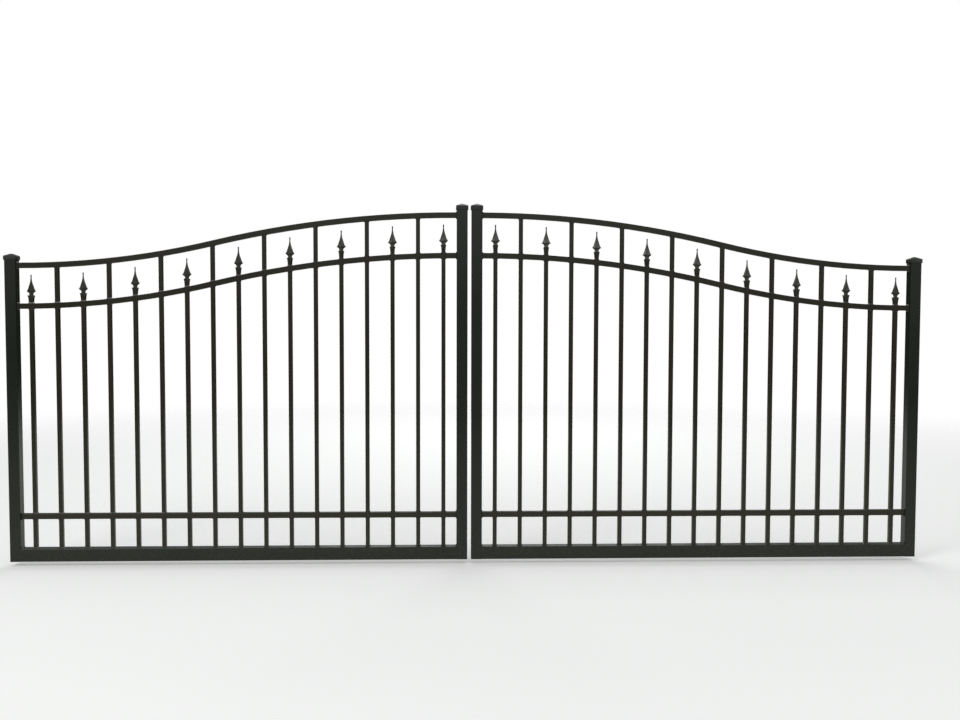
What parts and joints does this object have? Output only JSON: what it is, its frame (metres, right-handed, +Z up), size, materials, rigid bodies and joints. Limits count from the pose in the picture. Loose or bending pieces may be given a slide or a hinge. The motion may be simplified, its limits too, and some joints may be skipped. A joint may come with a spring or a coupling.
{
  "type": "garden gate",
  "caption": "Double-leaf arched garden gate in black square steel tube: slim pickets, every second one with a cast spear under a curved top rail, capped stiles and bolt-on barrel hinges.",
  "frame": {"origin": "Midway between the two leaves, at their underside, and in Y halfway between the front of the caps and the rear edge of the hinge plates.", "axes": "+X along the gate towards the right leaf as seen from the front, +Y through the gate towards the back, where the leaves open, +Z up."},
  "size_m": [4.291, 0.117, 1.6687],
  "materials": {
    "powder_coat": "satin black powder coat with a faint green-grey cast",
    "cast_spear": "satin black powder coat over a slightly rough casting",
    "cast_cap": "satin black, glossier on the sloped top",
    "hinge_steel": "satin black paint, rubbed where it turns",
    "zinc_pin": "zinc-plated steel, dulled",
    "brass_washer": "turned brass, dulled and greasy",
    "spring_clip": "dark spring steel"
  },
  "bodies": {
    "post_hinges": {"left_hinge_brackets": "hinge_steel", "left_hinge_pins": "zinc_pin", "left_pin_clips": "spring_clip", "left_thrust_washers": "brass_washer", "right_hinge_brackets": "hinge_steel", "right_hinge_pins": "zinc_pin", "right_pin_clips": "spring_clip", "right_thrust_washers": "brass_washer"},
    "left_leaf": {"left_bottom_rail": "powder_coat", "left_hinge_knuckles": "hinge_steel", "left_hinge_stile": "powder_coat", "left_lower_rail": "powder_coat", "left_meeting_stile": "powder_coat", "left_picket_01": "powder_coat", "left_picket_02": "powder_coat", "left_picket_03": "powder_coat", "left_picket_04": "powder_coat", "left_picket_05": "powder_coat", "left_picket_06": "powder_coat", "left_picket_07": "powder_coat", "left_picket_08": "powder_coat", "left_picket_09": "powder_coat", "left_picket_10": "powder_coat", "left_picket_11": "powder_coat", "left_picket_12": "powder_coat", "left_picket_13": "powder_coat", "left_picket_14": "powder_coat", "left_picket_15": "powder_coat", "left_picket_16": "powder_coat", "left_picket_17": "powder_coat", "left_spears": "cast_spear", "left_stile_caps": "cast_cap", "left_top_rail": "powder_coat", "left_upper_rail": "powder_coat"},
    "right_leaf": {"right_bottom_rail": "powder_coat", "right_hinge_knuckles": "hinge_steel", "right_hinge_stile": "powder_coat", "right_lower_rail": "powder_coat", "right_meeting_stile": "powder_coat", "right_picket_01": "powder_coat", "right_picket_02": "powder_coat", "right_picket_03": "powder_coat", "right_picket_04": "powder_coat", "right_picket_05": "powder_coat", "right_picket_06": "powder_coat", "right_picket_07": "powder_coat", "right_picket_08": "powder_coat", "right_picket_09": "powder_coat", "right_picket_10": "powder_coat", "right_picket_11": "powder_coat", "right_picket_12": "powder_coat", "right_picket_13": "powder_coat", "right_picket_14": "powder_coat", "right_picket_15": "powder_coat", "right_picket_16": "powder_coat", "right_picket_17": "powder_coat", "right_spears": "cast_spear", "right_stile_caps": "cast_cap", "right_top_rail": "powder_coat", "right_upper_rail": "powder_coat"}
  },
  "joints": [
    {"name": "left_leaf_swing", "type": "hinge", "parent": "post_hinges", "child": "left_leaf", "pos_m": [-2.1305, 0.0055, 0.7075], "axis": [0, 0, 1], "range_deg": [-10, 100]},
    {"name": "right_leaf_swing", "type": "hinge", "parent": "post_hinges", "child": "right_leaf", "pos_m": [2.1305, 0.0055, 0.7075], "axis": [0, 0, -1], "range_deg": [-10, 100]}
  ]
}
